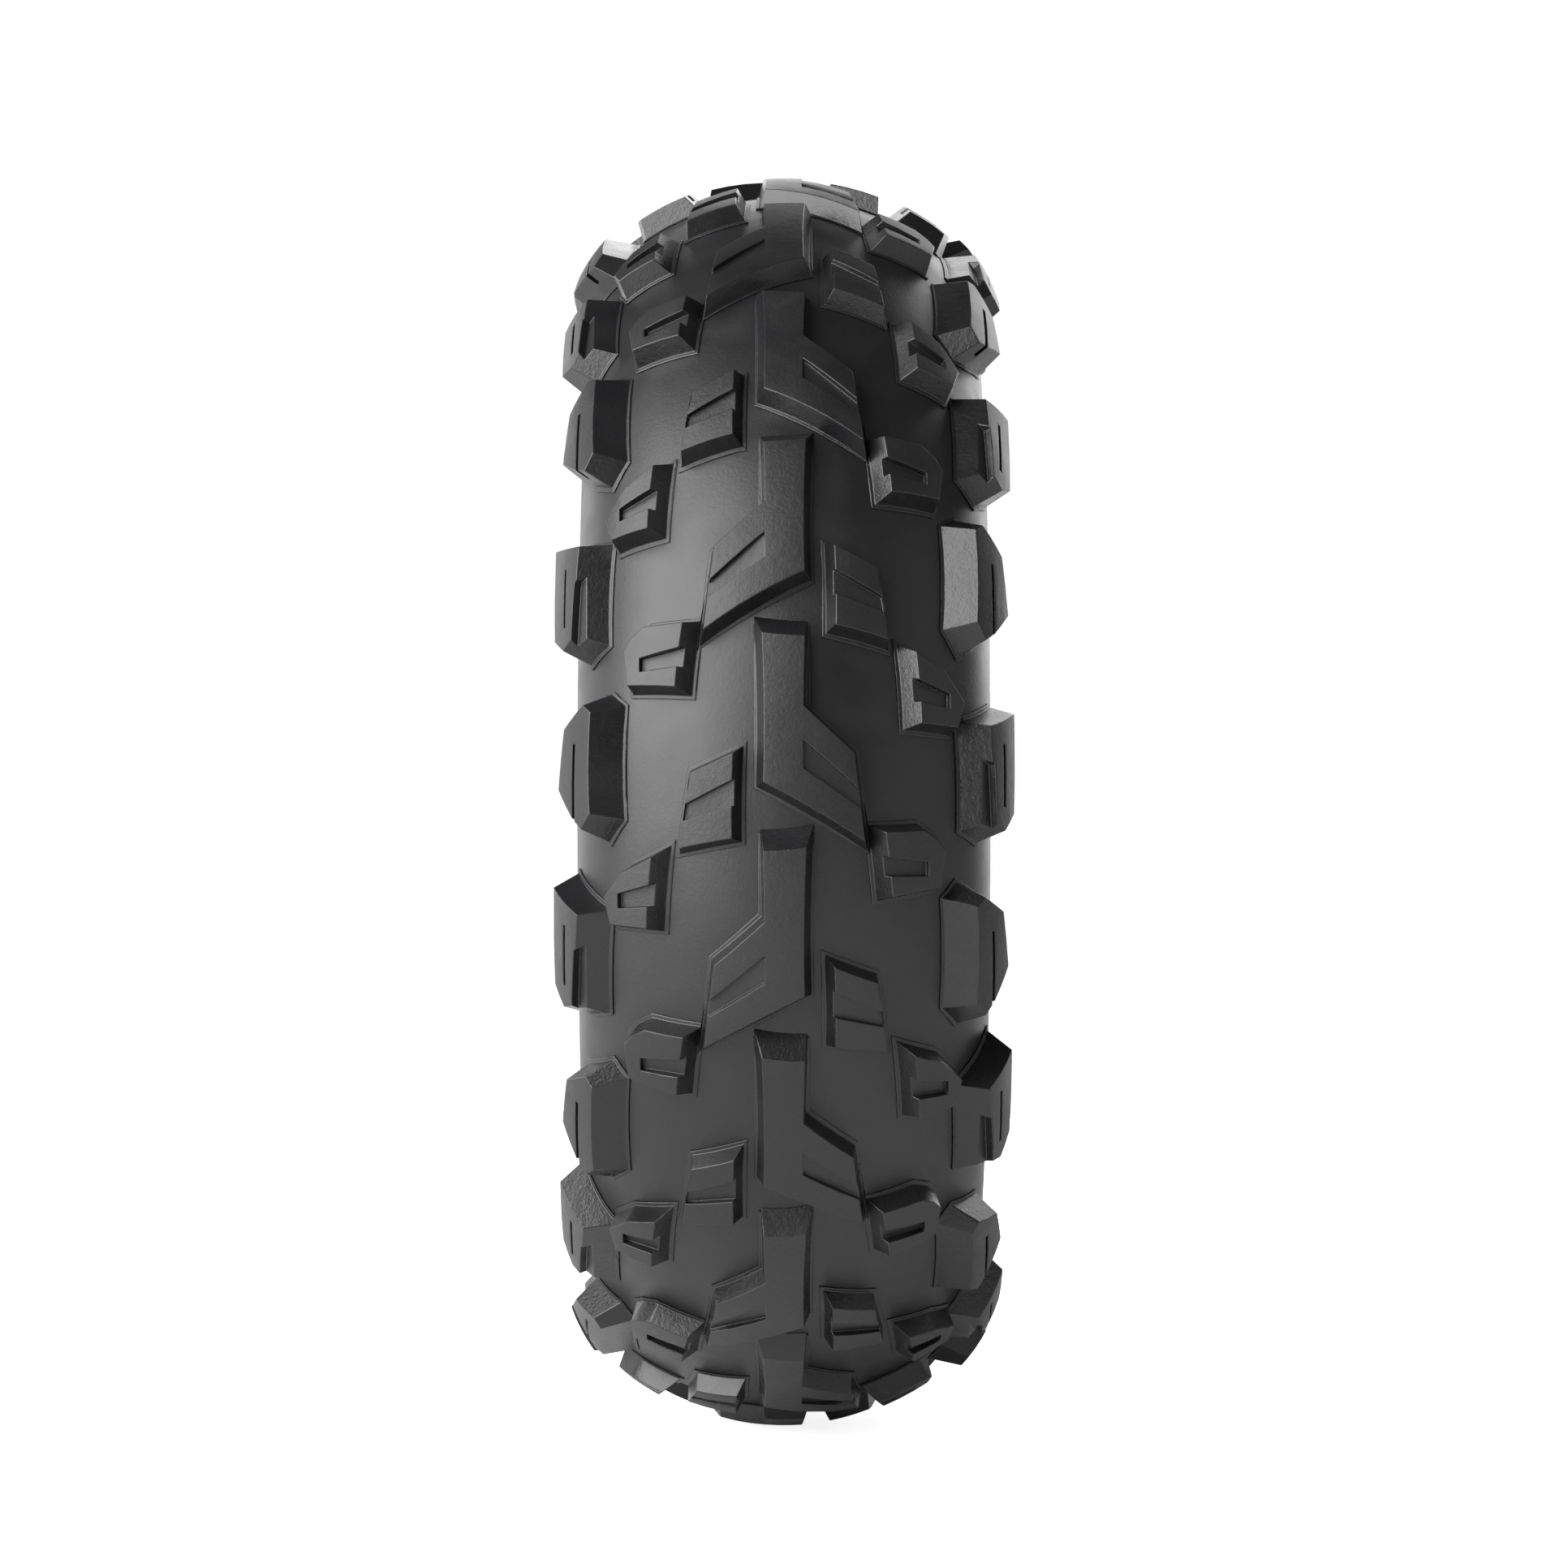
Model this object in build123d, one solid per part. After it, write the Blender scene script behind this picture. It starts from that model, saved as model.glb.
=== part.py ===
from build123d import *
import math
import os

# Knobby fat-bike tire, in millimetres: axle along Y, origin at the tire's centre, +Z up.
# "Across" is the distance from the mid-plane. A profile angle is measured in the section, from
# the crown (0) over the widest point (90) to the bead. A roll is the angle round the axle, by
# the right-hand rule about +Y, from +X. An offset is the height above the outer face of the
# tread base, negative towards the cavity.

# ---- Carcass -----------------------------------------------------------------------------
BEAD_SEAT_RADIUS = 101.6      # the 203 mm bicycle rim
WIDEST_RADIUS = 142.6         # axle to the widest point of the section
HALF_WIDTH = 60.0             # mid-plane to the widest point: a 120 mm (4.7 in) section
CROWN_RISE = 47.0             # widest point to crown, along the radius
CROWN_RADIUS = 75.0           # flat arc over the crown

# ---- Layers, as the offsets of the faces between them ---------------------------------------
LINER_FACE = -4.6
INNER_PLY_FACE = -4.0
OUTER_PLY_FACE = -3.4
PLY_TOP = -2.8
BREAKER_TOP = -2.2
SKIN_FACE = -1.4
BREAKER_EDGE = 52.0           # profile angle of the breaker's edge
TREAD_SHOULDER = 86.0         # where the tread base starts to thin
TREAD_EDGE = 94.0             # where it meets the sidewall
FLANK_ANGLE = 118.0           # where the sidewall runs straight on towards the bead

# ---- Bead ----------------------------------------------------------------------------------
CORE_RADIUS = 2.5
CORE_HEIGHT = 5.0             # bead seat to the core's centre
TURN_UP = 5.0                 # how far the inner ply climbs again outside the core
CHAFER_CLIMB = 11.0           # how far the chafer climbs the flank
CHAFER_THICKNESS = 0.8
SEAT_TOE, SEAT_HEEL = 34.5, 40.5   # the seat's ends, across
RIM_LINE_PLACE = 7.0          # centring ridge on the sidewall: place down the flank
RIM_LINE_WIDTH, RIM_LINE_HEIGHT = 1.4, 0.6

# ---- Tread ---------------------------------------------------------------------------------
REPEATS = 10                  # the pattern repeats every 36 degrees
HALF_REPEAT = 180 / REPEATS   # the right half runs half a repeat behind the mirrored left half
CENTRE_HEIGHT = 6.0
TRANSITION_HEIGHT = 6.5
SIDE_HEIGHT = 9.0
WALL_SLOPE = 12.0             # slope of a plain knob wall from the local normal
RAMP_SLOPE = 36.0             # the leading ramp of a centre knob
INNER_WALL_SLOPE = 20.0       # transition knobs, towards the crown
SIDE_WALL_SLOPE = 22.0        # side knobs, towards the crown
PLINTH_WIDTH = 1.2            # low step that each knob stands on
PLINTH_HEIGHT = 0.5
SIPE_WIDTH = 1.2
BAND_ARC = 60.0               # arc of the tread that one knob is cut from
BAND_MARGIN = 14.0            # how far towards the crown it starts from a shoulder knob
BAND_END = 89.0               # profile angle at which it ends

# ---- Section geometry worked out from the sizes above -----------------------------------------
CENTRE_DROP = CROWN_RADIUS - CROWN_RISE
SHOULDER_RADIUS = (CROWN_RADIUS**2 - HALF_WIDTH**2 - CENTRE_DROP**2) / (
    2 * (CROWN_RADIUS - HALF_WIDTH)
)
CROWN_CENTRE = (0.0, WIDEST_RADIUS - CENTRE_DROP)
SHOULDER_CENTRE = (HALF_WIDTH - SHOULDER_RADIUS, WIDEST_RADIUS)
JOIN_ANGLE = math.degrees(math.atan2(SHOULDER_CENTRE[0], CENTRE_DROP))
SECTION = Plane(origin=(0, 0, 0), x_dir=(0, 1, 0), z_dir=(0, 0, -1))


def normal_at(angle):
    """Outward normal of the section at a profile angle, as (across, radial)."""
    return math.sin(math.radians(angle)), math.cos(math.radians(angle))


def step(point, direction, length):
    """The point moved along a direction."""
    return point[0] + direction[0] * length, point[1] + direction[1] * length


def profile(angle, offset):
    """Point of the section at a profile angle and offset, as (across, radius)."""
    if angle <= JOIN_ANGLE:
        return step(CROWN_CENTRE, normal_at(angle), CROWN_RADIUS + offset)
    return step(SHOULDER_CENTRE, normal_at(angle), SHOULDER_RADIUS + offset)


def angle_at(across, offset):
    """Profile angle at which the offset face lies this far across."""
    if across <= profile(JOIN_ANGLE, offset)[0]:
        return math.degrees(math.asin(across / (CROWN_RADIUS + offset)))
    sine = (across - SHOULDER_CENTRE[0]) / (SHOULDER_RADIUS + offset)
    return math.degrees(math.asin(min(sine, 1.0)))


def arcs(offset, start, end):
    """Edges of the offset face from one profile angle to a larger one."""
    stops = [start, JOIN_ANGLE, end] if start < JOIN_ANGLE < end else [start, end]
    return [
        ThreePointArc(profile(a, offset), profile((a + b) / 2, offset), profile(b, offset))
        for a, b in zip(stops, stops[1:])
    ]


def flank(distance, offset):
    """Point this far down the straight flank, at an offset."""
    across, radial = normal_at(FLANK_ANGLE)
    return step(profile(FLANK_ANGLE, offset), (radial, -across), distance)


def ring(edges, mirrored=False):
    """Solid of revolution of the closed loop that the edges make."""
    face = SECTION * make_face(edges)
    solid = revolve(face, Axis.Y, revolution_arc=360)
    return mirror(solid, about=Plane.XZ) if mirrored else solid


def whole(edges):
    """A bead-to-bead ring from the edges of its right half, which start on the mid-plane."""
    half = make_face(edges)
    section = half + mirror(half, about=Plane.YZ)
    return revolve(SECTION * section, Axis.Y, revolution_arc=360)


# ---- Bead construction points -----------------------------------------------------------------
FLANK_NORMAL = normal_at(FLANK_ANGLE)
UP_FLANK = (-FLANK_NORMAL[1], FLANK_NORMAL[0])
PLY_THICKNESS = OUTER_PLY_FACE - INNER_PLY_FACE
WRAP_RADIUS = CORE_RADIUS + PLY_THICKNESS


def core_centre():
    """The core stands over the seat, with its wrap of ply against the outer ply's flank."""
    radius = BEAD_SEAT_RADIUS + CORE_HEIGHT
    start = profile(FLANK_ANGLE, OUTER_PLY_FACE)
    reach = FLANK_NORMAL[0] * start[0] + FLANK_NORMAL[1] * start[1] - WRAP_RADIUS
    return (reach - FLANK_NORMAL[1] * radius) / FLANK_NORMAL[0], radius


CORE = core_centre()
CORE_DISTANCE = math.dist(CORE, SHOULDER_CENTRE)
CORE_ANGLE = math.degrees(math.atan2(CORE[0] - SHOULDER_CENTRE[0], CORE[1] - SHOULDER_CENTRE[1]))
# The inner ply leaves its arc here, on the line that crosses over to the cavity side of the core.
CROSS_ANGLE = CORE_ANGLE - math.degrees(
    math.acos((SHOULDER_RADIUS + OUTER_PLY_FACE + CORE_RADIUS) / CORE_DISTANCE)
)
CROSS_NORMAL = normal_at(CROSS_ANGLE)
UNDERSIDE = normal_at(196.7)  # from the core's centre to the middle of its underside


def round_core(radius):
    """Three points of a circle about the core: cavity side, underside and flank side."""
    return (
        step(CORE, CROSS_NORMAL, -radius),
        step(CORE, UNDERSIDE, radius),
        step(CORE, FLANK_NORMAL, radius),
    )


# ---- Carcass pieces ----------------------------------------------------------------------------
def inner_liner():
    """Airtight rubber skin over the whole cavity, down to the bead toes."""
    outer_end = round_core(WRAP_RADIUS)[0]
    inner_end = step(outer_end, CROSS_NORMAL, LINER_FACE - INNER_PLY_FACE)
    return whole(
        arcs(INNER_PLY_FACE, 0, CROSS_ANGLE)
        + arcs(LINER_FACE, 0, CROSS_ANGLE)
        + [
            Line(profile(0, INNER_PLY_FACE), profile(0, LINER_FACE)),
            Line(profile(CROSS_ANGLE, INNER_PLY_FACE), outer_end),
            Line(outer_end, inner_end),
            Line(inner_end, profile(CROSS_ANGLE, LINER_FACE)),
        ]
    )


def casing_ply_inner():
    """Cord ply inside the cores, turned up round each of them."""
    near = round_core(CORE_RADIUS)
    far = round_core(WRAP_RADIUS)
    near_end = step(near[2], UP_FLANK, TURN_UP)
    far_end = step(far[2], UP_FLANK, TURN_UP)
    return whole(
        arcs(OUTER_PLY_FACE, 0, CROSS_ANGLE)
        + arcs(INNER_PLY_FACE, 0, CROSS_ANGLE)
        + [
            Line(profile(0, INNER_PLY_FACE), profile(0, OUTER_PLY_FACE)),
            Line(profile(CROSS_ANGLE, OUTER_PLY_FACE), near[0]),
            ThreePointArc(*near),
            Line(near[2], near_end),
            Line(near_end, far_end),
            Line(far_end, far[2]),
            ThreePointArc(*far),
            Line(far[0], profile(CROSS_ANGLE, INNER_PLY_FACE)),
        ]
    )


def flank_length():
    """Distance down the flank at which the outer ply passes the core's centre."""
    start = profile(FLANK_ANGLE, OUTER_PLY_FACE)
    return -((CORE[0] - start[0]) * UP_FLANK[0] + (CORE[1] - start[1]) * UP_FLANK[1])


FLANK_END = flank_length()


def casing_ply_outer():
    """Cord ply over the inner one, brought down outside both cores."""
    return whole(
        arcs(PLY_TOP, 0, FLANK_ANGLE)
        + arcs(OUTER_PLY_FACE, 0, FLANK_ANGLE)
        + [
            Line(profile(0, OUTER_PLY_FACE), profile(0, PLY_TOP)),
            Line(profile(FLANK_ANGLE, PLY_TOP), flank(FLANK_END, PLY_TOP)),
            Line(flank(FLANK_END, PLY_TOP), flank(FLANK_END, OUTER_PLY_FACE)),
            Line(flank(FLANK_END, OUTER_PLY_FACE), profile(FLANK_ANGLE, OUTER_PLY_FACE)),
        ]
    )


def breaker_belt():
    """Puncture-resistant belt between the casing and the tread base."""
    return whole(
        arcs(BREAKER_TOP, 0, BREAKER_EDGE)
        + arcs(PLY_TOP, 0, BREAKER_EDGE)
        + [
            Line(profile(0, PLY_TOP), profile(0, BREAKER_TOP)),
            Line(profile(BREAKER_EDGE, PLY_TOP), profile(BREAKER_EDGE, BREAKER_TOP)),
        ]
    )


def tread_base():
    """Rubber floor of the tread, thinning at its edges to meet the sidewalls."""
    return whole(
        arcs(0, 0, TREAD_SHOULDER)
        + arcs(BREAKER_TOP, 0, BREAKER_EDGE)
        + arcs(PLY_TOP, BREAKER_EDGE, TREAD_EDGE)
        + [
            Line(profile(0, BREAKER_TOP), profile(0, 0)),
            Line(profile(TREAD_SHOULDER, 0), profile(TREAD_EDGE, SKIN_FACE)),
            Line(profile(TREAD_EDGE, SKIN_FACE), profile(TREAD_EDGE, PLY_TOP)),
            Line(profile(BREAKER_EDGE, BREAKER_TOP), profile(BREAKER_EDGE, PLY_TOP)),
        ]
    )


def sidewall(mirrored):
    """Rubber skin from the tread's edge to the chafer, with its rim centring line."""
    end = FLANK_END - CHAFER_CLIMB
    ridge = [
        flank(RIM_LINE_PLACE, SKIN_FACE),
        flank(RIM_LINE_PLACE + RIM_LINE_HEIGHT, SKIN_FACE + RIM_LINE_HEIGHT),
        flank(RIM_LINE_PLACE + RIM_LINE_WIDTH, SKIN_FACE + RIM_LINE_HEIGHT),
        flank(RIM_LINE_PLACE + RIM_LINE_WIDTH + RIM_LINE_HEIGHT, SKIN_FACE),
    ]
    corners = [profile(FLANK_ANGLE, SKIN_FACE), *ridge, flank(end, SKIN_FACE), flank(end, PLY_TOP)]
    corners.append(profile(FLANK_ANGLE, PLY_TOP))
    return ring(
        arcs(SKIN_FACE, TREAD_EDGE, FLANK_ANGLE)
        + arcs(PLY_TOP, TREAD_EDGE, FLANK_ANGLE)
        + [Line(a, b) for a, b in zip(corners, corners[1:])]
        + [Line(profile(TREAD_EDGE, SKIN_FACE), profile(TREAD_EDGE, PLY_TOP))],
        mirrored,
    )


def bead_core(mirrored):
    """Aramid hoop that holds the tire on its rim."""
    face = make_face(Edge.make_circle(CORE_RADIUS, Plane(origin=(*CORE, 0))))
    solid = revolve(SECTION * face, Axis.Y, revolution_arc=360)
    return mirror(solid, about=Plane.XZ) if mirrored else solid


def bead_apex(mirrored):
    """Rubber filler that closes the wedge over the core, between the two plies."""
    tip = flank(TURN_UP, OUTER_PLY_FACE)
    tip_angle = FLANK_ANGLE + math.degrees(math.atan2(TURN_UP, SHOULDER_RADIUS + OUTER_PLY_FACE))
    near = round_core(CORE_RADIUS)
    turn_up_end = step(near[2], UP_FLANK, TURN_UP)
    turn_up_back = step(turn_up_end, FLANK_NORMAL, PLY_THICKNESS)
    over = step(CORE, (-near[1][0] + CORE[0], -near[1][1] + CORE[1]), 1.0)
    return ring(
        arcs(OUTER_PLY_FACE, tip_angle, CROSS_ANGLE)
        + [
            Line(profile(CROSS_ANGLE, OUTER_PLY_FACE), near[0]),
            ThreePointArc(near[0], over, near[2]),
            Line(near[2], turn_up_end),
            Line(turn_up_end, turn_up_back),
            Line(turn_up_back, tip),
            Line(tip, profile(tip_angle, OUTER_PLY_FACE)),
        ],
        mirrored,
    )


def chafer(mirrored):
    """Tough strip round the bead: it forms the toe, the seat and the heel."""
    wrap = round_core(WRAP_RADIUS)
    liner_end = step(wrap[0], CROSS_NORMAL, LINER_FACE - INNER_PLY_FACE)
    top = FLANK_END - CHAFER_CLIMB
    corners = [
        flank(FLANK_END, OUTER_PLY_FACE),
        flank(FLANK_END, PLY_TOP),
        flank(top, PLY_TOP),
        flank(top, PLY_TOP + CHAFER_THICKNESS),
        flank(FLANK_END - 1.0, PLY_TOP + CHAFER_THICKNESS),
        (SEAT_HEEL + 1.2, BEAD_SEAT_RADIUS + 1.2),
        (SEAT_HEEL, BEAD_SEAT_RADIUS),
        (SEAT_TOE, BEAD_SEAT_RADIUS),
        (SEAT_TOE - 1.6, BEAD_SEAT_RADIUS + 1.6),
        (SEAT_TOE - 1.6, liner_end[1] - 1.6),
        liner_end,
        wrap[0],
    ]
    return ring(
        [Line(a, b) for a, b in zip(corners, corners[1:])] + [ThreePointArc(*wrap)],
        mirrored,
    )


# ---- Knob outlines ---------------------------------------------------------------------------
# Each corner is (across, roll) on the top face, in millimetres and degrees. They go round the
# knob, with one wall slope for the wall that follows each corner. They are drawn on the +Y side.
WING_KNOB = [
    (-5.5, 4.6, WALL_SLOPE),
    (-5.5, 16.3, WALL_SLOPE),
    (22.0, 20.9, WALL_SLOPE),
    (19.7, 13.9, WALL_SLOPE),
    (5.5, 10.0, WALL_SLOPE),
    (5.5, 4.6, RAMP_SLOPE),
]
INNER_KNOB = [
    (14.5, -4.0, WALL_SLOPE),
    (14.8, 3.0, WALL_SLOPE),
    (29.4, 3.9, WALL_SLOPE),
    (26.7, -2.4, WALL_SLOPE),
]
TRANSITION_KNOB_A = [
    (29.0, 20.6, INNER_WALL_SLOPE),
    (31.0, 26.1, WALL_SLOPE),
    (44.5, 25.6, WALL_SLOPE),
    (45.6, 22.4, WALL_SLOPE),
    (43.7, 21.4, WALL_SLOPE),
    (39.9, 20.5, WALL_SLOPE),
]
TRANSITION_KNOB_B = [
    (37.8, 4.9, INNER_WALL_SLOPE),
    (39.2, 11.1, WALL_SLOPE),
    (49.5, 11.2, WALL_SLOPE),
    (51.2, 8.8, WALL_SLOPE),
    (45.9, 6.3, WALL_SLOPE),
]
SIDE_KNOB_1 = [
    (55.5, -8.2, SIDE_WALL_SLOPE),
    (55.6, 1.1, SIDE_WALL_SLOPE),
    (58.0, 2.5, WALL_SLOPE),
    (60.5, 1.6, WALL_SLOPE),
    (64.6, -1.2, WALL_SLOPE),
    (63.0, -7.1, WALL_SLOPE),
    (57.5, -9.0, SIDE_WALL_SLOPE),
]
SIDE_KNOB_2 = [
    (59.3, 10.8, SIDE_WALL_SLOPE),
    (60.0, 19.8, SIDE_WALL_SLOPE),
    (63.5, 20.8, WALL_SLOPE),
    (66.1, 19.2, WALL_SLOPE),
    (66.2, 9.0, WALL_SLOPE),
]

# Cuts in the top faces, also as (across, roll) corners. Each has an even depth, and some of
# them run out through a wall of their knob.
WING_POCKET = [(5.5, 12.9), (24.5, 17.9), (24.5, 19.1), (5.5, 15.2)]
INNER_POCKET = [(12.0, -2.2), (27.8, 0.2), (28.6, 1.6), (12.0, 0.1)]
TRANSITION_SLOT_A = [(25.0, 22.5), (41.0, 23.3), (41.0, 24.5), (25.0, 24.3)]
TRANSITION_SLOT_B = [(32.0, 6.6), (47.2, 8.3), (47.2, 9.6), (32.0, 8.9)]
SIDE_NOTCH = [(52.0, 12.4), (60.2, 14.4), (60.9, 19.0), (61.2, 23.0), (52.0, 23.0)]
SIDE_SIPE_1 = [(60.0, -5.5), (60.0, 4.0)]
SIDE_SIPE_2 = [(63.1, 12.3), (63.2, 18.5)]
POCKET_DEPTH = 1.8
SLOT_DEPTH = 2.4
NOTCH_DEPTH = 3.0
SIPE_DEPTH = 4.5
CLEAR = 3.0                   # how far cutters and prisms overrun the faces they cut


def tread_plane(across, roll, height):
    """Plane on the tread base under a place on a knob's top face: X across and outwards,
    Y against the roll, Z along the normal."""
    angle = angle_at(abs(across), height)
    side = math.copysign(1, across)
    y, radius = profile(angle, 0)
    n = normal_at(angle)
    turn = math.radians(roll)
    outward = Vector(math.cos(turn), 0, -math.sin(turn))
    normal = outward * n[1] + Vector(0, side * n[0], 0)
    tangent = outward * (-side * n[0]) + Vector(0, n[1], 0)
    return Plane(origin=outward * radius + Vector(0, side * y, 0), x_dir=tangent, z_dir=normal)


def flat_corner(plane, across, roll, height):
    """A corner on the face at this height, projected on the plane as (x, y)."""
    y, radius = profile(angle_at(abs(across), height), height)
    turn = math.radians(roll)
    point = Vector(radius * math.cos(turn), math.copysign(y, across), -radius * math.sin(turn))
    local = plane.to_local_coords(point)
    return local.X, local.Y


def grown(corners, widths):
    """A polygon whose edges have moved outwards, each by its own width."""
    area = sum(a[0] * b[1] - b[0] * a[1] for a, b in zip(corners, corners[1:] + corners[:1]))
    turn = math.copysign(1, area)
    lines = []
    for (a, b), width in zip(zip(corners, corners[1:] + corners[:1]), widths):
        length = math.dist(a, b)
        normal = ((b[1] - a[1]) / length * turn, (a[0] - b[0]) / length * turn)
        lines.append((normal, normal[0] * a[0] + normal[1] * a[1] + width))
    moved = []
    for (n1, d1), (n2, d2) in zip(lines[-1:] + lines[:-1], lines):
        cross = n1[0] * n2[1] - n1[1] * n2[0]
        moved.append(((d1 * n2[1] - d2 * n1[1]) / cross, (n1[0] * d2 - n2[0] * d1) / cross))
    return moved


def prism(plane, lower, upper, low, high):
    """Solid between two polygons with matching corners, at two heights over a plane."""
    wires = [
        Wire.make_polygon([plane.from_local_coords(Vector(x, y, z)) for x, y in corners])
        for corners, z in ((lower, low), (upper, high))
    ]
    return Solid.make_loft(wires, ruled=True)


def band(height, low_angle, high_angle, roll):
    """The space over the tread base up to a height, between two profile angles."""
    half = (
        arcs(0, low_angle, high_angle)
        + arcs(height, low_angle, high_angle)
        + [
            Line(profile(low_angle, 0), profile(low_angle, height)),
            Line(profile(high_angle, 0), profile(high_angle, height)),
        ]
    )
    face = make_face(half)
    if low_angle == 0:
        face = face + mirror(face, about=Plane.YZ)
    solid = revolve(SECTION * face, Axis.Y, revolution_arc=BAND_ARC)
    start = math.degrees(math.atan2(-solid.center().Z, solid.center().X))
    return solid.rotate(Axis.Y, roll - start)


def slot(corners, height, depth):
    """Cutter with an even depth and square walls."""
    middle = [sum(c[i] for c in corners) / len(corners) for i in (0, 1)]
    plane = tread_plane(*middle, height)
    flat = [flat_corner(plane, *corner, height) for corner in corners]
    return prism(plane, flat, flat, height - depth, height + CLEAR)


def sipe(ends, height):
    """Thin slot along the line between two points."""
    middle = [(ends[0][i] + ends[1][i]) / 2 for i in (0, 1)]
    plane = tread_plane(*middle, height)
    a, b = [flat_corner(plane, *end, height) for end in ends]
    length = math.dist(a, b)
    aside = ((b[1] - a[1]) / length, (a[0] - b[0]) / length)
    flat = [step(p, aside, side * SIPE_WIDTH / 2) for p, side in ((a, 1), (b, 1), (b, -1), (a, -1))]
    return prism(plane, flat, flat, height - SIPE_DEPTH, height + CLEAR)


def knob(outline, height, cuts):
    """One knob on its plinth, with the cuts taken out of its top."""
    across = [c[0] for c in outline]
    roll = [c[1] for c in outline]
    middle_roll = (min(roll) + max(roll)) / 2
    plane = tread_plane((min(across) + max(across)) / 2, middle_roll, height)
    top = [flat_corner(plane, c[0], c[1], height) for c in outline]
    slopes = [math.tan(math.radians(c[2])) for c in outline]
    low, high = -2 * CLEAR, height + CLEAR
    lower = grown(top, [s * (height - low) for s in slopes])
    upper = grown(top, [s * (height - high) for s in slopes])
    foot = grown(top, [s * height + PLINTH_WIDTH for s in slopes])
    low_angle = angle_at(min(across) - BAND_MARGIN, 0) if min(across) > 2 * BAND_MARGIN else 0
    knob_band = band(height, low_angle, BAND_END, middle_roll)
    plinth_band = band(PLINTH_HEIGHT, low_angle, BAND_END, middle_roll)
    body = prism(plane, lower, upper, low, high) & knob_band
    for cut in cuts:
        body = body - cut
    plinth = prism(plane, foot, foot, low, high) & plinth_band
    return (body + plinth).clean()


def knobs_round(master, mirrored):
    """The group of one knob's copies round the tread, on one side."""
    if mirrored:
        first = mirror(master, about=Plane.XZ)
    else:
        first = master.rotate(Axis.Y, HALF_REPEAT)
    return Compound(
        [first.rotate(Axis.Y, 2 * HALF_REPEAT * i).solids()[0] for i in range(REPEATS)]
    )


KNOBS = {
    "centre_knobs_{}_wing": (
        WING_KNOB, CENTRE_HEIGHT, [slot(WING_POCKET, CENTRE_HEIGHT, POCKET_DEPTH)]
    ),
    "inner_knobs_{}": (
        INNER_KNOB, CENTRE_HEIGHT, [slot(INNER_POCKET, CENTRE_HEIGHT, POCKET_DEPTH)]
    ),
    "transition_knobs_a_{}": (
        TRANSITION_KNOB_A, TRANSITION_HEIGHT,
        [slot(TRANSITION_SLOT_A, TRANSITION_HEIGHT, SLOT_DEPTH)],
    ),
    "transition_knobs_b_{}": (
        TRANSITION_KNOB_B, TRANSITION_HEIGHT,
        [slot(TRANSITION_SLOT_B, TRANSITION_HEIGHT, SLOT_DEPTH)],
    ),
    "side_knobs_1_{}": (SIDE_KNOB_1, SIDE_HEIGHT, [sipe(SIDE_SIPE_1, SIDE_HEIGHT)]),
    "side_knobs_2_{}": (
        SIDE_KNOB_2, SIDE_HEIGHT,
        [sipe(SIDE_SIPE_2, SIDE_HEIGHT), slot(SIDE_NOTCH, SIDE_HEIGHT, NOTCH_DEPTH)],
    ),
}


def build():
    """Every node's name and shape. A knob gives way where its plinth meets an earlier knob."""
    nodes = {
        "inner_liner": inner_liner(),
        "casing_ply_inner": casing_ply_inner(),
        "casing_ply_outer": casing_ply_outer(),
        "breaker_belt": breaker_belt(),
        "tread_base": tread_base(),
    }
    for side, mirrored in (("right", False), ("left", True)):
        nodes[f"bead_core_{side}"] = bead_core(mirrored)
        nodes[f"bead_apex_{side}"] = bead_apex(mirrored)
        nodes[f"chafer_{side}"] = chafer(mirrored)
        nodes[f"sidewall_{side}"] = sidewall(mirrored)
    earlier = []
    for name, (outline, height, cuts) in KNOBS.items():
        master = knob(outline, height, cuts)
        for neighbour in earlier:
            master = master - neighbour
        earlier.append(master)
        nodes[name.format("right")] = knobs_round(master, False)
        nodes[name.format("left")] = knobs_round(master, True)
    return nodes


os.makedirs("parts", exist_ok=True)
for name, shape in build().items():
    export_step(shape, f"parts/{name}.step")
    print(name, round(shape.volume / 1000, 2), "cm3")
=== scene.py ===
# %% [markdown]
# # A knobby fat-bike tire
# The tire stands on its tread and is seen straight on, as on a product page. The solid model is
# loaded first, and each visible rubber piece is then finished on top of it: moulded edges get
# their small radius, the smooth skins get more detail than a solid model carries, and every
# compound gets its own material. All lengths are in metres, and the axle lies along Y.

# %% Load the solid model
import math

import bmesh
import bpy
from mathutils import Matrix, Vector


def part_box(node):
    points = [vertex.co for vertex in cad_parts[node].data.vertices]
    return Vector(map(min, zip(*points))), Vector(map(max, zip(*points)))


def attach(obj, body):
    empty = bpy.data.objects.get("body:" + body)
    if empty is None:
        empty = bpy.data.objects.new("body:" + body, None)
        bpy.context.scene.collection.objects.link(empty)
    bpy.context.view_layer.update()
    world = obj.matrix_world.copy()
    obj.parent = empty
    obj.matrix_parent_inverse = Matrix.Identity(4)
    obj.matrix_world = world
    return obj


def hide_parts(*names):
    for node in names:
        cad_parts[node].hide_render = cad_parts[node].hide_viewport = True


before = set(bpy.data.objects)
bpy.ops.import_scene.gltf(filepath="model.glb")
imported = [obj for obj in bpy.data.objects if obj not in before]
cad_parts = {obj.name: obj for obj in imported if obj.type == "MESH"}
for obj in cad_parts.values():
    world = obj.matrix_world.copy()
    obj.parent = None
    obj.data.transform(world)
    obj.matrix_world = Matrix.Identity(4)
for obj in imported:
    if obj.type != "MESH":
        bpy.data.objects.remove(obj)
bpy.context.view_layer.update()
MM = 0.001
ground = min(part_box(name)[0].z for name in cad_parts)
tread_radius = max(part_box(name)[1].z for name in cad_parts)
print("pieces", len(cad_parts), "outside radius in mm", round(tread_radius / MM, 1))

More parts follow.
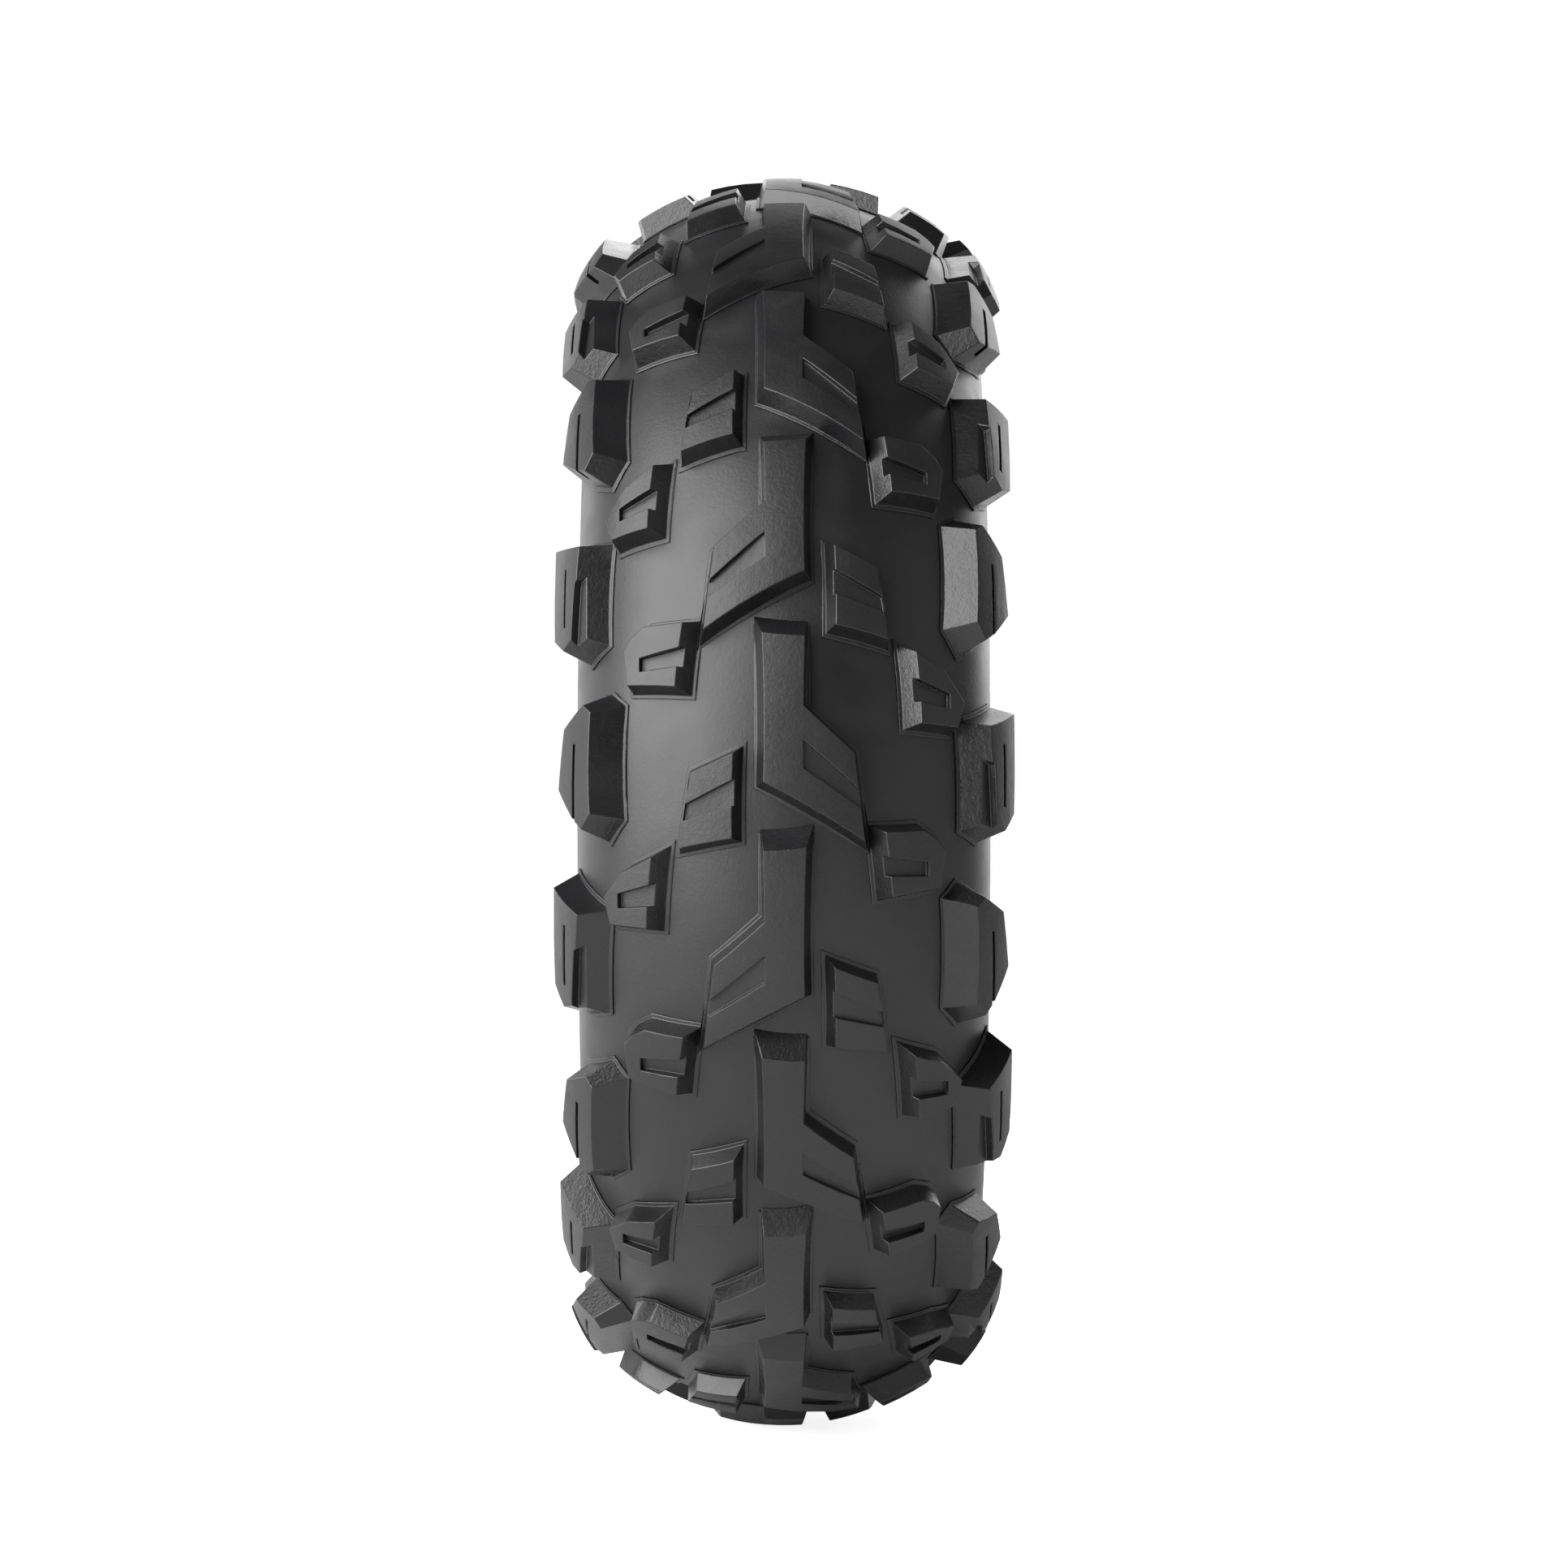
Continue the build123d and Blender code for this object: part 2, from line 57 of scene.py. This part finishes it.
# %% [markdown]
# ## The view
# A long lens from nine tire radii away keeps the tread's sides almost parallel and still lets
# the top and bottom knobs lean away. The tire hangs a little low in the frame, which is done with
# lens shift, so that the camera stays level and the upright edges stay upright.

# %% Camera
CAMERA_REACH = 9.0
camera_data = bpy.data.cameras.new("camera")
camera_data.sensor_width = 36.0
camera_data.lens = 128.0
camera_data.shift_y = 0.0114
camera_data.clip_start, camera_data.clip_end = 0.05, 60.0
camera = bpy.data.objects.new("camera", camera_data)
camera.location = (CAMERA_REACH * tread_radius, 0.0, 0.0)
camera.rotation_euler = (math.radians(90), 0.0, math.radians(90))
bpy.context.scene.collection.objects.link(camera)
bpy.context.scene.camera = camera
print("camera distance in m", round(camera.location.x, 3))

# %% [markdown]
# ## The studio
# Black rubber shows its shape only through what it mirrors, so the lights matter more than the
# colour. A tall soft box on the left draws the broad sheen over the crown, two behind the tire
# draw the bright outlines, a faint one on the right keeps the shaded side readable, and one at
# the back does for the far side what the first does for the near one. The rest of the room
# stays dim. The floor and the background are plain and nearly white. Glowing planes could do the
# same, but area lights give a cleaner picture for the same softness.

# %% Soft boxes
LIGHT_REACH = 1.6


def soft_box(name, bearing, height, size, brightness):
    """An area light that looks at the tire's centre. Its bearing is in degrees round the tire
    from the camera, positive to the camera's left, and its height is in degrees."""
    data = bpy.data.lights.new(name, "AREA")
    data.shape = "RECTANGLE"
    data.size, data.size_y = size
    data.energy = brightness * math.pi * size[0] * size[1]
    level = math.cos(math.radians(height))
    away = Vector((
        level * math.cos(math.radians(bearing)),
        -level * math.sin(math.radians(bearing)),
        math.sin(math.radians(height)),
    ))
    lamp = bpy.data.objects.new(name, data)
    lamp.location = away * LIGHT_REACH
    lamp.rotation_euler = (-away).to_track_quat("-Z", "Y").to_euler()
    lamp.visible_camera = False
    bpy.context.scene.collection.objects.link(lamp)
    return lamp


soft_box("soft_box_left", 51, 26, (1.9, 1.9), 7.6)
soft_box("soft_box_left_rear", 132, 2, (1.9, 1.3), 1.9)
soft_box("soft_box_right_rear", -128, 2, (1.9, 1.3), 0.2)
soft_box("soft_box_right_front", -66, 6, (1.6, 2.0), 0.55)
soft_box("soft_box_back", -160, 20, (1.8, 1.4), 2.6)

# %% [markdown]
# The world has two brightnesses. Whatever the camera sees directly is white paper, but the
# rubber mirrors a nearly dark room, which is what keeps it black between its highlights. A Light
# Path node tells the two kinds of ray apart.

# %% Room
ROOM_GLOW = 0.06
world = bpy.data.worlds.new("room")
bpy.context.scene.world = world
world.use_nodes = True
room = world.node_tree
room.nodes.clear()
seen = room.nodes.new("ShaderNodeLightPath")
glow = room.nodes.new("ShaderNodeMix")
glow.data_type = "FLOAT"
glow.inputs["A"].default_value = ROOM_GLOW
glow.inputs["B"].default_value = 1.0
backdrop = room.nodes.new("ShaderNodeBackground")
backdrop.inputs["Color"].default_value = (1.0, 1.0, 1.0, 1.0)
sky = room.nodes.new("ShaderNodeOutputWorld")
room.links.new(seen.outputs["Is Camera Ray"], glow.inputs["Factor"])
room.links.new(glow.outputs["Result"], backdrop.inputs["Strength"])
room.links.new(backdrop.outputs["Background"], sky.inputs["Surface"])
bpy.context.scene.view_settings.view_transform = "Standard"
print("room glow", ROOM_GLOW)

# %% [markdown]
# The floor is a wide pale disc at the tire's lowest point. Seen by the camera it also glows a
# little, and more so further out, so that it runs into the background without a horizon and
# keeps only a soft shadow under the tire.

# %% Floor
FLOOR_REACH = 12.0
NEAR_GLOW, FAR_GLOW = 0.86, 1.05
FADE_START, FADE_END = 0.1, 1.2
floor_mesh = bpy.data.meshes.new("floor")
disc = bmesh.new()
bmesh.ops.create_circle(disc, cap_ends=True, segments=96, radius=FLOOR_REACH)
disc.to_mesh(floor_mesh)
disc.free()
floor = bpy.data.objects.new("floor", floor_mesh)
floor.location.z = ground
bpy.context.scene.collection.objects.link(floor)

floor_paint = bpy.data.materials.new("floor_paint")
floor_paint.use_nodes = True
paint = floor_paint.node_tree
paint_shader = paint.nodes["Principled BSDF"]
paint_shader.inputs["Base Color"].default_value = (0.8, 0.8, 0.8, 1.0)
paint_shader.inputs["Roughness"].default_value = 0.9
paint_shader.inputs["Specular IOR Level"].default_value = 0.1
paint_shader.inputs["Emission Color"].default_value = (1.0, 1.0, 1.0, 1.0)
floor_place = paint.nodes.new("ShaderNodeTexCoord")
from_middle = paint.nodes.new("ShaderNodeVectorMath")
from_middle.operation = "LENGTH"
fade = paint.nodes.new("ShaderNodeMapRange")
fade.interpolation_type = "SMOOTHSTEP"
fade.inputs["From Min"].default_value = FADE_START
fade.inputs["From Max"].default_value = FADE_END
fade.inputs["To Min"].default_value = NEAR_GLOW
fade.inputs["To Max"].default_value = FAR_GLOW
floor_seen = paint.nodes.new("ShaderNodeLightPath")
floor_glow = paint.nodes.new("ShaderNodeMath")
floor_glow.operation = "MULTIPLY"
paint.links.new(floor_place.outputs["Object"], from_middle.inputs[0])
paint.links.new(from_middle.outputs["Value"], fade.inputs["Value"])
paint.links.new(fade.outputs["Result"], floor_glow.inputs[0])
paint.links.new(floor_seen.outputs["Is Camera Ray"], floor_glow.inputs[1])
paint.links.new(floor_glow.outputs["Value"], paint_shader.inputs["Emission Strength"])
floor_mesh.materials.append(floor_paint)
print("floor height in mm", round(ground / MM, 1))

# %% [markdown]
# ## Shared effects
# Moulded rubber is never one even black. The mould leaves a fine grain, the release film dries in
# soft patches, and cords just under a thin skin show through as slanting lines. Each effect is a
# node group that works from the place on the piece, and each material sets its own scale and
# strength. A painted texture would need all 120 knobs unwrapped first.

# %% Node group helpers
def effect(name, inputs, outputs):
    """An empty shader node group with named sockets; returns it with its two end nodes."""
    group = bpy.data.node_groups.new(name, "ShaderNodeTree")
    for label, kind, start in inputs:
        socket = group.interface.new_socket(label, in_out="INPUT", socket_type=kind)
        if start is not None:
            socket.default_value = start
    for label, kind in outputs:
        group.interface.new_socket(label, in_out="OUTPUT", socket_type=kind)
    return group, group.nodes.new("NodeGroupInput"), group.nodes.new("NodeGroupOutput")


def sums(group, operation, first, second=None):
    """A math node on two values, each one a socket or a number."""
    node = group.nodes.new("ShaderNodeMath")
    node.operation = operation
    for slot, value in zip(node.inputs, (first, second)):
        if value is None:
            continue
        if isinstance(value, (int, float)):
            slot.default_value = value
        else:
            group.links.new(value, slot)
    return node.outputs["Value"]


# %% Mould grain
FLOAT, VECTOR = "NodeSocketFloat", "NodeSocketVector"
# The pits are coarser than the fine grain by this factor, and this deep beside it.
PIT_SCALE, PIT_SHARE = 0.45, 0.5
grain, grain_in, grain_out = effect(
    "mould_grain",
    [("Place", VECTOR, None), ("Grain", FLOAT, 1800.0), ("Patches", FLOAT, 45.0)],
    [("Height", FLOAT), ("Film", FLOAT)],
)
fine = grain.nodes.new("ShaderNodeTexNoise")
fine.inputs["Detail"].default_value = 3.0
fine.inputs["Roughness"].default_value = 0.65
pits = grain.nodes.new("ShaderNodeTexVoronoi")
pits.feature = "SMOOTH_F1"
film = grain.nodes.new("ShaderNodeTexNoise")
film.inputs["Detail"].default_value = 4.0
film.inputs["Distortion"].default_value = 0.6
for texture, scale in ((fine, "Grain"), (film, "Patches")):
    grain.links.new(grain_in.outputs["Place"], texture.inputs["Vector"])
    grain.links.new(grain_in.outputs[scale], texture.inputs["Scale"])
grain.links.new(grain_in.outputs["Place"], pits.inputs["Vector"])
pit_scale = sums(grain, "MULTIPLY", grain_in.outputs["Grain"], PIT_SCALE)
grain.links.new(pit_scale, pits.inputs["Scale"])
pit_depth = sums(grain, "MULTIPLY", pits.outputs["Distance"], PIT_SHARE)
grain_height = sums(grain, "ADD", fine.outputs["Fac"], pit_depth)
grain.links.new(grain_height, grain_out.inputs["Height"])
grain.links.new(film.outputs["Fac"], grain_out.inputs["Film"])
print("effect", grain.name)

# %% [markdown]
# A casing is made of plies whose cords cross each other on a slant, and the rubber over them is
# so thin that the lattice shows faintly. Two sets of slanting waves make it: one counts round
# the axle, and a term that grows down the side leans it one way or the other.

# %% Cords under the skin
INNER_CORD_SHARE = 0.7
cords, cords_in, cords_out = effect(
    "cords_under_skin",
    [("Place", VECTOR, None), ("Count", FLOAT, 320.0), ("Slant", FLOAT, 2200.0)],
    [("Height", FLOAT)],
)
parts = cords.nodes.new("ShaderNodeSeparateXYZ")
cords.links.new(cords_in.outputs["Place"], parts.inputs["Vector"])
turn = sums(cords, "ARCTAN2", parts.outputs["Z"], parts.outputs["X"])
along = sums(cords, "MULTIPLY", turn, cords_in.outputs["Count"])
out_x = sums(cords, "MULTIPLY", parts.outputs["X"], parts.outputs["X"])
out_z = sums(cords, "MULTIPLY", parts.outputs["Z"], parts.outputs["Z"])
reach = sums(cords, "SQRT", sums(cords, "ADD", out_x, out_z))
side = sums(cords, "ABSOLUTE", parts.outputs["Y"])
down = sums(cords, "SUBTRACT", reach, side)
slant = sums(cords, "MULTIPLY", down, cords_in.outputs["Slant"])
one_way = sums(cords, "SINE", sums(cords, "ADD", along, slant))
other_way = sums(cords, "SINE", sums(cords, "SUBTRACT", along, slant))
lattice = sums(cords, "MAXIMUM", one_way, sums(cords, "MULTIPLY", other_way, INNER_CORD_SHARE))
cords.links.new(lattice, cords_out.inputs["Height"])
print("effect", cords.name)

# %% [markdown]
# ## Compounds
# The tread is a soft, satin black compound: textured on top of each knob, smoother on its flanks,
# where the mould was cut by a milling tool. The sidewall skin is thinner and a touch duller, and
# shows its cords. The liner is butyl, slightly brown, and the chafer is a woven strip. One
# function mixes each of them from the same two effects.

# %% Rubber mixer
FILM_LOW, FILM_HIGH = 0.3, 0.7
GRAIN_STRENGTH, CORD_STRENGTH = 0.6, 0.4


def rubber(slot, colour, film_colour, roughness, grain_scale, depth, cord=None, sheen=0.5,
           flank_polish=0.0):
    """A rubber material: film patches in colour and roughness, grain and cords in the bump. The
    flank polish is how much smoother the rubber is where the mesh is marked as a flank."""
    made = bpy.data.materials.new(slot)
    made.use_nodes = True
    tree = made.node_tree
    shader = tree.nodes["Principled BSDF"]
    shader.inputs["IOR"].default_value = 1.5
    shader.inputs["Specular IOR Level"].default_value = sheen
    place = tree.nodes.new("ShaderNodeTexCoord").outputs["Object"]

    grained = tree.nodes.new("ShaderNodeGroup")
    grained.node_tree = grain
    grained.inputs["Grain"].default_value = grain_scale
    tree.links.new(place, grained.inputs["Place"])

    tint = tree.nodes.new("ShaderNodeMix")
    tint.data_type = "RGBA"
    tint.inputs["A"].default_value = (*colour, 1.0)
    tint.inputs["B"].default_value = (*film_colour, 1.0)
    tree.links.new(grained.outputs["Film"], tint.inputs["Factor"])
    tree.links.new(tint.outputs["Result"], shader.inputs["Base Color"])

    gloss = tree.nodes.new("ShaderNodeMapRange")
    ends = (("From Min", FILM_LOW), ("From Max", FILM_HIGH),
            ("To Min", roughness[0]), ("To Max", roughness[1]))
    for label, value in ends:
        gloss.inputs[label].default_value = value
    tree.links.new(grained.outputs["Film"], gloss.inputs["Value"])
    surface = gloss.outputs["Result"]
    if flank_polish:
        flank = tree.nodes.new("ShaderNodeAttribute")
        flank.attribute_name = "flank"
        smoother = sums(tree, "MULTIPLY", flank.outputs["Fac"], flank_polish)
        surface = sums(tree, "SUBTRACT", surface, smoother)
    tree.links.new(surface, shader.inputs["Roughness"])

    skin = tree.nodes.new("ShaderNodeBump")
    skin.inputs["Strength"].default_value = GRAIN_STRENGTH
    skin.inputs["Distance"].default_value = depth
    tree.links.new(grained.outputs["Height"], skin.inputs["Height"])
    tree.links.new(skin.outputs["Normal"], shader.inputs["Normal"])
    if cord:
        under = tree.nodes.new("ShaderNodeGroup")
        under.node_tree = cords
        under.inputs["Count"].default_value, under.inputs["Slant"].default_value = cord[0]
        tree.links.new(place, under.inputs["Place"])
        lines = tree.nodes.new("ShaderNodeBump")
        lines.inputs["Strength"].default_value = CORD_STRENGTH
        lines.inputs["Distance"].default_value = cord[1]
        tree.links.new(under.outputs["Height"], lines.inputs["Height"])
        tree.links.new(lines.outputs["Normal"], skin.inputs["Normal"])
    return made


# %% Compounds
BLACK, FILM = (0.004, 0.004, 0.0045), (0.012, 0.012, 0.013)
materials = {
    "tread_rubber": rubber(
        "tread_rubber", BLACK, FILM, (0.38, 0.5), 1300.0, 0.00016, flank_polish=0.15
    ),
    "tread_floor": rubber("tread_floor", BLACK, FILM, (0.36, 0.48), 1700.0, 0.00009),
    "sidewall_rubber": rubber(
        "sidewall_rubber", (0.006, 0.006, 0.0065), (0.013, 0.013, 0.0135), (0.46, 0.58), 1500.0,
        0.00008, ((300.0, 2100.0), 0.00012), 0.38,
    ),
    "chafer_rubber": rubber(
        "chafer_rubber", (0.008, 0.008, 0.008), (0.02, 0.02, 0.019), (0.55, 0.7), 2200.0,
        0.0001, ((420.0, 4000.0), 0.0002),
    ),
    "liner_rubber": rubber(
        "liner_rubber", (0.010, 0.009, 0.0085), (0.024, 0.022, 0.02), (0.45, 0.62), 1200.0,
        0.0001, ((260.0, 1900.0), 0.00018),
    ),
    "apex_rubber": rubber(
        "apex_rubber", (0.010, 0.009, 0.009), (0.02, 0.019, 0.019), (0.5, 0.62), 1500.0, 0.0001
    ),
    "casing_cord": rubber(
        "casing_cord", (0.16, 0.12, 0.07), (0.26, 0.2, 0.12), (0.6, 0.75), 1500.0, 0.0001,
        ((520.0, 3600.0), 0.0002),
    ),
    "breaker_cord": rubber(
        "breaker_cord", (0.22, 0.2, 0.13), (0.33, 0.3, 0.21), (0.6, 0.75), 1500.0, 0.0001,
        ((640.0, 4200.0), 0.0002),
    ),
    "bead_aramid": rubber(
        "bead_aramid", (0.42, 0.3, 0.08), (0.6, 0.45, 0.15), (0.5, 0.65), 2500.0, 0.0001,
        ((700.0, 9000.0), 0.0003),
    ),
}
for name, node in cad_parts.items():
    slot_name = node.data.materials[0].name
    node.material_slots[0].material = materials[slot_name.split(".")[0]]
print("compounds", len(materials))

# %% [markdown]
# ## Knobs
# A knob comes out of a machined mould, so its edges are crisp but never knife sharp. The solid
# knobs are copied, their doubled corners are joined, and every sharp edge is rounded with a
# bevel of a few tenths of a millimetre. That small round is what catches the light along every
# edge. A Bevel node could fake it in the shading, but then the mesh would stay sharp. The faces
# that don't look straight out of the tread get a mark, from which the material takes its
# smoother flanks.

# %% Round the moulded edges
KNOB_NODES = sorted(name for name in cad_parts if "knobs" in name)
EDGE_ROUND = 0.28 * MM
JOIN_REACH = 0.01 * MM
FLAT_TURN = math.radians(1.0)
SHARP_TURN = math.radians(24)
SECTION_CENTRE = tread_radius - 62.0 * MM
TOP_FACING = 0.88


def moulded(node_name):
    """A copy of a node's mesh with joined corners and rounded edges, standing for the node. Its
    faces that don't look straight out of the tread are marked as flanks."""
    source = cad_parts[node_name]
    shape = bmesh.new()
    shape.from_mesh(source.data)
    bmesh.ops.remove_doubles(shape, verts=shape.verts, dist=JOIN_REACH)
    bmesh.ops.dissolve_limit(
        shape, angle_limit=FLAT_TURN, verts=shape.verts, edges=shape.edges
    )
    corners = [
        edge for edge in shape.edges
        if len(edge.link_faces) == 2 and edge.calc_face_angle() > SHARP_TURN
    ]
    bmesh.ops.bevel(
        shape, geom=corners, offset=EDGE_ROUND, offset_type="OFFSET", segments=2, profile=0.5,
        affect="EDGES", clamp_overlap=False,
    )
    flank = shape.faces.layers.float.new("flank")
    for face in shape.faces:
        face.smooth = True
        place = face.calc_center_median()
        reach = math.hypot(place.x, place.z)
        rise, across = reach - SECTION_CENTRE, place.y
        outward = Vector((rise * place.x / reach, across, rise * place.z / reach)).normalized()
        face[flank] = float(face.normal.dot(outward) < TOP_FACING)
    mesh = bpy.data.meshes.new(node_name + "_moulded")
    shape.to_mesh(mesh)
    shape.free()
    for entry in source.data.materials:
        mesh.materials.append(entry)
    piece = bpy.data.objects.new(node_name + "_moulded", mesh)
    bpy.context.scene.collection.objects.link(piece)
    weighted = piece.modifiers.new("shade_flat_faces_flat", "WEIGHTED_NORMAL")
    weighted.weight = 100
    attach(piece, "root")
    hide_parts(node_name)
    return piece


knobs = [moulded(name) for name in KNOB_NODES]
for piece in knobs:
    print(piece.name, "faces", len(piece.data.polygons))

# %% [markdown]
# ## Tread floor and sidewalls
# The floor between the knobs is one smooth skin, so any kink in its outline shows at once as
# a line in the sheen. Instead of copying the solid model's two arcs, the outline is walked in
# small steps, with a curvature that changes gradually from the flat crown to the tight shoulder,
# and is then turned about the axle. The sidewall continues the same line, with its slim moulded
# ribs, down to the chafer.

# %% Walk the section
CROWN_ARC, SHOULDER_ARC = 75.0 * MM, 41.37 * MM
JOIN_TURN = math.radians(33.64)
BLEND = 16.0 * MM
WALK = 0.1 * MM
LAST_TURN = math.radians(125)
half_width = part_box("tread_base")[1].y
crown_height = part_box("tread_base")[1].z


def smooth(value):
    """0 to 1 with soft ends."""
    value = min(max(value, 0.0), 1.0)
    return value * value * (3 - 2 * value)


def walk_section(last_turn):
    """Points of the outline from the crown: (turn, across, radius), one every small step."""
    turn, across, radius, walked = 0.0, 0.0, crown_height, 0.0
    join = CROWN_ARC * JOIN_TURN
    line = [(turn, across, radius)]
    while turn < last_turn:
        tight = smooth((walked - join) / BLEND + 0.5)
        bend = (1 - tight) / CROWN_ARC + tight / SHOULDER_ARC
        turn += bend * WALK
        across += math.cos(turn) * WALK
        radius -= math.sin(turn) * WALK
        walked += WALK
        line.append((turn, across, radius))
    return line


def at_turn(degrees, offset):
    """The place (across, radius) at a turn from the crown, this far outside the outline."""
    turn = math.radians(abs(degrees))
    place = min(OUTLINE, key=lambda entry: abs(entry[0] - turn))
    across = place[1] + math.sin(turn) * offset
    return math.copysign(across, degrees), place[2] + math.cos(turn) * offset


OUTLINE = walk_section(LAST_TURN)
print("half width in mm", round(max(entry[1] for entry in OUTLINE) / MM, 2),
      "solid model", round(half_width / MM, 2))

# %% Turn a closed loop about the axle
SEGMENTS = 480
CREASE_TURN = math.radians(35)


def turned(name, loop, material, node_name):
    """A ring from a closed loop of (across, radius) places, standing for a solid node."""
    corners, faces = [], []
    for step in range(SEGMENTS):
        angle = 2 * math.pi * step / SEGMENTS
        for across, radius in loop:
            corners.append((radius * math.cos(angle), across, radius * math.sin(angle)))
    count = len(loop)
    for step in range(SEGMENTS):
        here, there = step * count, (step + 1) % SEGMENTS * count
        for place in range(count):
            after = (place + 1) % count
            faces.append((here + place, here + after, there + after, there + place))
    mesh = bpy.data.meshes.new(name)
    mesh.from_pydata(corners, [], faces)
    mesh.materials.append(material)
    shape = bmesh.new()
    shape.from_mesh(mesh)
    bmesh.ops.recalc_face_normals(shape, faces=shape.faces)
    for face in shape.faces:
        face.smooth = True
    for edge in shape.edges:
        edge.smooth = edge.calc_face_angle(0.0) < CREASE_TURN
    shape.to_mesh(mesh)
    shape.free()
    piece = bpy.data.objects.new(name, mesh)
    bpy.context.scene.collection.objects.link(piece)
    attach(piece, "root")
    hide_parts(node_name)
    return piece


print("steps round the tire", SEGMENTS)

# %% Tread floor
SKIN, PLY_TOP, BREAKER_TOP = -1.4 * MM, -2.8 * MM, -2.2 * MM
SHOULDER_TURN, TREAD_END, TREAD_STEP = 86, 94, 2
# Turns at which the underside has a point; it steps down to the plies past the breaker's edge.
BREAKER_TURN = 52.0
UNDERSIDE_TURNS = (94, 85, 75, 65, 55, 52.1, 51.9, 40, 30, 20, 10, 0.01)
outside = [
    at_turn(turn, SKIN * smooth((abs(turn) - SHOULDER_TURN) / (TREAD_END - SHOULDER_TURN)))
    for turn in range(-TREAD_END, TREAD_END + 1, TREAD_STEP)
]
inside = [
    at_turn(turn, PLY_TOP if abs(turn) > BREAKER_TURN else BREAKER_TOP)
    for turn in UNDERSIDE_TURNS
]
inside += [(-across, radius) for across, radius in reversed(inside)]
tread_floor = turned("tread_floor", outside + inside, materials["tread_floor"], "tread_base")
print("tread floor faces", len(tread_floor.data.polygons))

# %% [markdown]
# A sidewall bends on from the tread's edge and then runs straight to the chafer. Its moulded
# ribs are no deeper than a fingernail, so they are made by lifting rows of points, and the rows
# lie close enough together for the ribs to have soft tops.

# %% Sidewalls
FLANK_TURN = 118.0
BEND_TURNS = (118, 112, 106, 100, 94)
ROW = 0.4 * MM
# Each rib: how far below the tread's edge it starts, its width and its height.
RIBS = ((1.2, 0.5, 0.3), (2.9, 0.5, 0.3), (12.0, 0.6, 0.25), (23.9, 2.2, 0.6))


def rib_height(below):
    """Height of the moulded ribs this far below the tread's edge."""
    height = 0.0
    for start, width, tall in RIBS:
        start, width, tall = start * MM, width * MM, tall * MM
        inwards = min(below - start, start + width - below)
        height = max(height, tall * smooth(inwards / min(tall, width / 2)))
    return height


def sidewall_loop(side, node_name):
    """Closed loop of one sidewall: down its outside to the chafer and back up its inside."""
    lowest = min(math.hypot(v.co.x, v.co.z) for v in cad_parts[node_name].data.vertices)
    arc_length = (SHOULDER_ARC + SKIN) * math.radians(FLANK_TURN - TREAD_END)
    slope = math.radians(FLANK_TURN)
    start = at_turn(FLANK_TURN, SKIN)
    flank_length = (start[1] - lowest) / math.sin(slope)
    rows = round((arc_length + flank_length) / ROW)
    down = []
    for row in range(rows + 1):
        below = (arc_length + flank_length) * row / rows
        height = SKIN + rib_height(below)
        if below <= arc_length:
            share = below / arc_length
            down.append(at_turn(TREAD_END + (FLANK_TURN - TREAD_END) * share, height))
        else:
            across, radius = at_turn(FLANK_TURN, height)
            far = below - arc_length
            down.append((across + far * math.cos(slope), radius - far * math.sin(slope)))
    across, radius = at_turn(FLANK_TURN, PLY_TOP)
    up = [(across + flank_length * math.cos(slope), radius - flank_length * math.sin(slope))]
    up += [at_turn(turn, PLY_TOP) for turn in BEND_TURNS]
    return [(side * across, radius) for across, radius in down + up]


for side, hand in ((1, "right"), (-1, "left")):
    node_name = f"sidewall_{hand}"
    wall = turned(
        f"sidewall_skin_{hand}", sidewall_loop(side, node_name), materials["sidewall_rubber"],
        node_name,
    )
    print(wall.name, "faces", len(wall.data.polygons))
